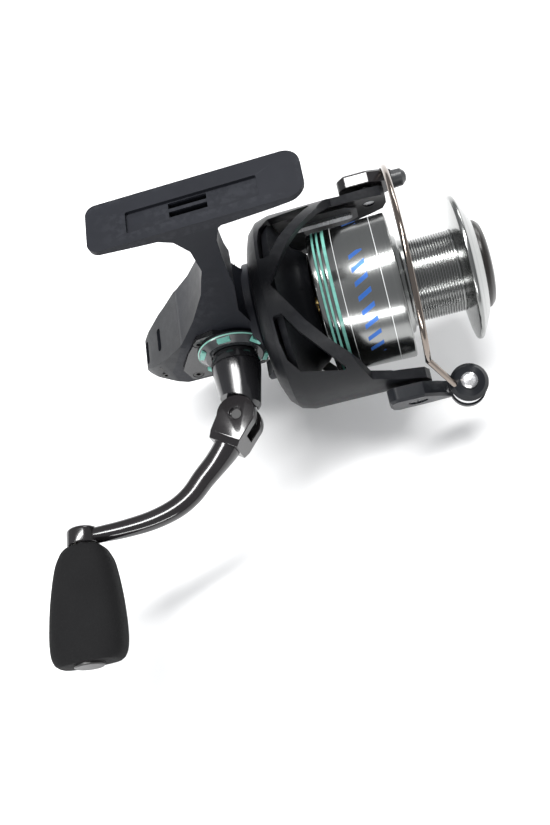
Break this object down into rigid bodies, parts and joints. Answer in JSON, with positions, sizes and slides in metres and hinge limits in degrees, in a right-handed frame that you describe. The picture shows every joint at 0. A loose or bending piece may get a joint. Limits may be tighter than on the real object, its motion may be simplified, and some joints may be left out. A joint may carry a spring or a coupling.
{
  "type": "spinning reel",
  "caption": "Fixed-spool fishing reel with a foot, geared case, folding crank and knob, turning rotor, folding bail wire, line roller, oscillating spool and front drag knob.",
  "frame": {"origin": "middle of the foot's rod face", "axes": "+X runs along the main shaft towards the spool, +Z points from the foot into the rod, and the crank is on the -Y side"},
  "size_m": [0.1586, 0.1471, 0.1025],
  "materials": {
    "case_coat": "charcoal satin fibre-filled plastic",
    "rear_shell": "dark charcoal satin plastic",
    "gloss_shell": "gloss black",
    "ring_coat": "gloss dark grey with a mint edge line",
    "mint": "mint accent enamel",
    "steel": "turned steel",
    "gear_alloy": "cast gear alloy",
    "brass": "machined brass",
    "cap_black": "black moulded plastic",
    "arm_gloss": "gloss black coat on aluminium",
    "knob_black": "speckled matt black grip",
    "bush_plastic": "white low friction plastic",
    "rotor_coat": "charcoal satin fibre-filled plastic",
    "lever_coat": "dark metallic coat",
    "wire": "polished stainless wire",
    "cap_grey": "grey plastic",
    "roller_chrome": "hard chromed",
    "spool_alloy": "gunmetal anodised, turned",
    "felt": "pressed felt",
    "drag_black": "satin black with a brown cast"
  },
  "bodies": {
    "case": {"rear_cover": "rear_shell", "gear_housing": "case_coat", "side_cover": "gloss_shell", "side_cover_screws": "steel", "rear_cover_screws": "steel", "trim_ring": "ring_coat", "ring_windows": "mint", "cover_bearing": "steel", "case_bearing": "steel", "pinion_bearing": "steel", "one_way_clutch": "steel", "bearing_retainer": "steel", "retainer_screws": "steel", "guide_rods": "steel"},
    "crank": {"drive_gear": "gear_alloy", "drive_shaft": "steel", "handle_shank": "gloss_shell", "handle_bolt": "steel", "screw_cap": "cap_black"},
    "arm": {"handle_arm": "arm_gloss", "fold_pin": "steel", "knob_post": "steel"},
    "knob": {"knob_grip": "knob_black", "knob_bushes": "bush_plastic", "knob_cap": "cap_black"},
    "rotor": {"pinion_gear": "brass", "rotor": "rotor_coat", "rotor_nut": "brass", "nut_lock_plate": "steel", "arm_covers": "cap_black", "bail_screws": "steel", "trip_lever": "steel", "bail_spring": "steel"},
    "bail": {"bail_arm": "lever_coat", "bail_holder": "arm_gloss", "bail_wire": "wire", "wire_end_cap": "cap_grey", "roller_cover": "lever_coat", "roller_screw": "steel", "roller_bush": "bush_plastic"},
    "roller": {"line_roller": "roller_chrome"},
    "oscillator": {"oscillation_gear": "gear_alloy"},
    "shaft": {"main_shaft": "steel", "oscillation_slider": "gear_alloy", "slider_screw": "steel", "shaft_pin": "steel", "spool_washer": "bush_plastic", "click_gear": "bush_plastic", "metal_washers": "steel"},
    "spool": {"spool": "spool_alloy", "spool_rim": "spool_alloy", "skirt_rings": "mint", "spool_bush": "bush_plastic", "click_pawl": "bush_plastic", "felt_washers": "felt", "washer_retainer": "steel"},
    "drag": {"drag_knob": "drag_black", "drag_nut": "brass", "drag_spring": "steel"}
  },
  "joints": [
    {"name": "crank_turn", "type": "hinge", "parent": "case", "child": "crank", "pos_m": [-0.0075, 0, -0.0625], "axis": [0, -1, 0], "continuous": true},
    {"name": "rotor_turn", "type": "hinge", "parent": "case", "child": "rotor", "pos_m": [-0.0075, 0, -0.0685], "axis": [1, 0, 0], "continuous": true},
    {"name": "oscillation_turn", "type": "hinge", "parent": "case", "child": "oscillator", "pos_m": [-0.01817, 0, -0.068], "axis": [0, -1, 0], "continuous": true},
    {"name": "spool_stroke", "type": "slide", "parent": "case", "child": "shaft", "axis": [1, 0, 0], "range_m": [-0.004, 0.004]},
    {"name": "spool_turn", "type": "hinge", "parent": "shaft", "child": "spool", "pos_m": [0.0525, 0, -0.0685], "axis": [1, 0, 0], "continuous": true},
    {"name": "drag_turn", "type": "hinge", "parent": "shaft", "child": "drag", "pos_m": [0.0725, 0, -0.0685], "axis": [1, 0, 0], "continuous": true},
    {"name": "bail_flip", "type": "hinge", "parent": "rotor", "child": "bail", "pos_m": [0.048, 0, -0.0685], "axis": [0, 0.9659, 0.2588], "range_deg": [0, 130]},
    {"name": "roller_turn", "type": "hinge", "parent": "bail", "child": "roller", "pos_m": [0.065, -0.03786, -0.07865], "axis": [0, -0.2588, 0.9659], "continuous": true},
    {"name": "handle_fold", "type": "hinge", "parent": "crank", "child": "arm", "pos_m": [-0.0088, -0.0383, -0.0625], "axis": [0, 0, 1], "range_deg": [-75, 0]},
    {"name": "knob_turn", "type": "hinge", "parent": "arm", "child": "knob", "pos_m": [-0.0652, -0.08, -0.0625], "axis": [0, -1, 0], "continuous": true}
  ],
  "couplings": [
    {"joint": "rotor_turn", "follows": "crank_turn", "ratio": -5},
    {"joint": "oscillation_turn", "follows": "crank_turn", "ratio": -0.84615}
  ]
}
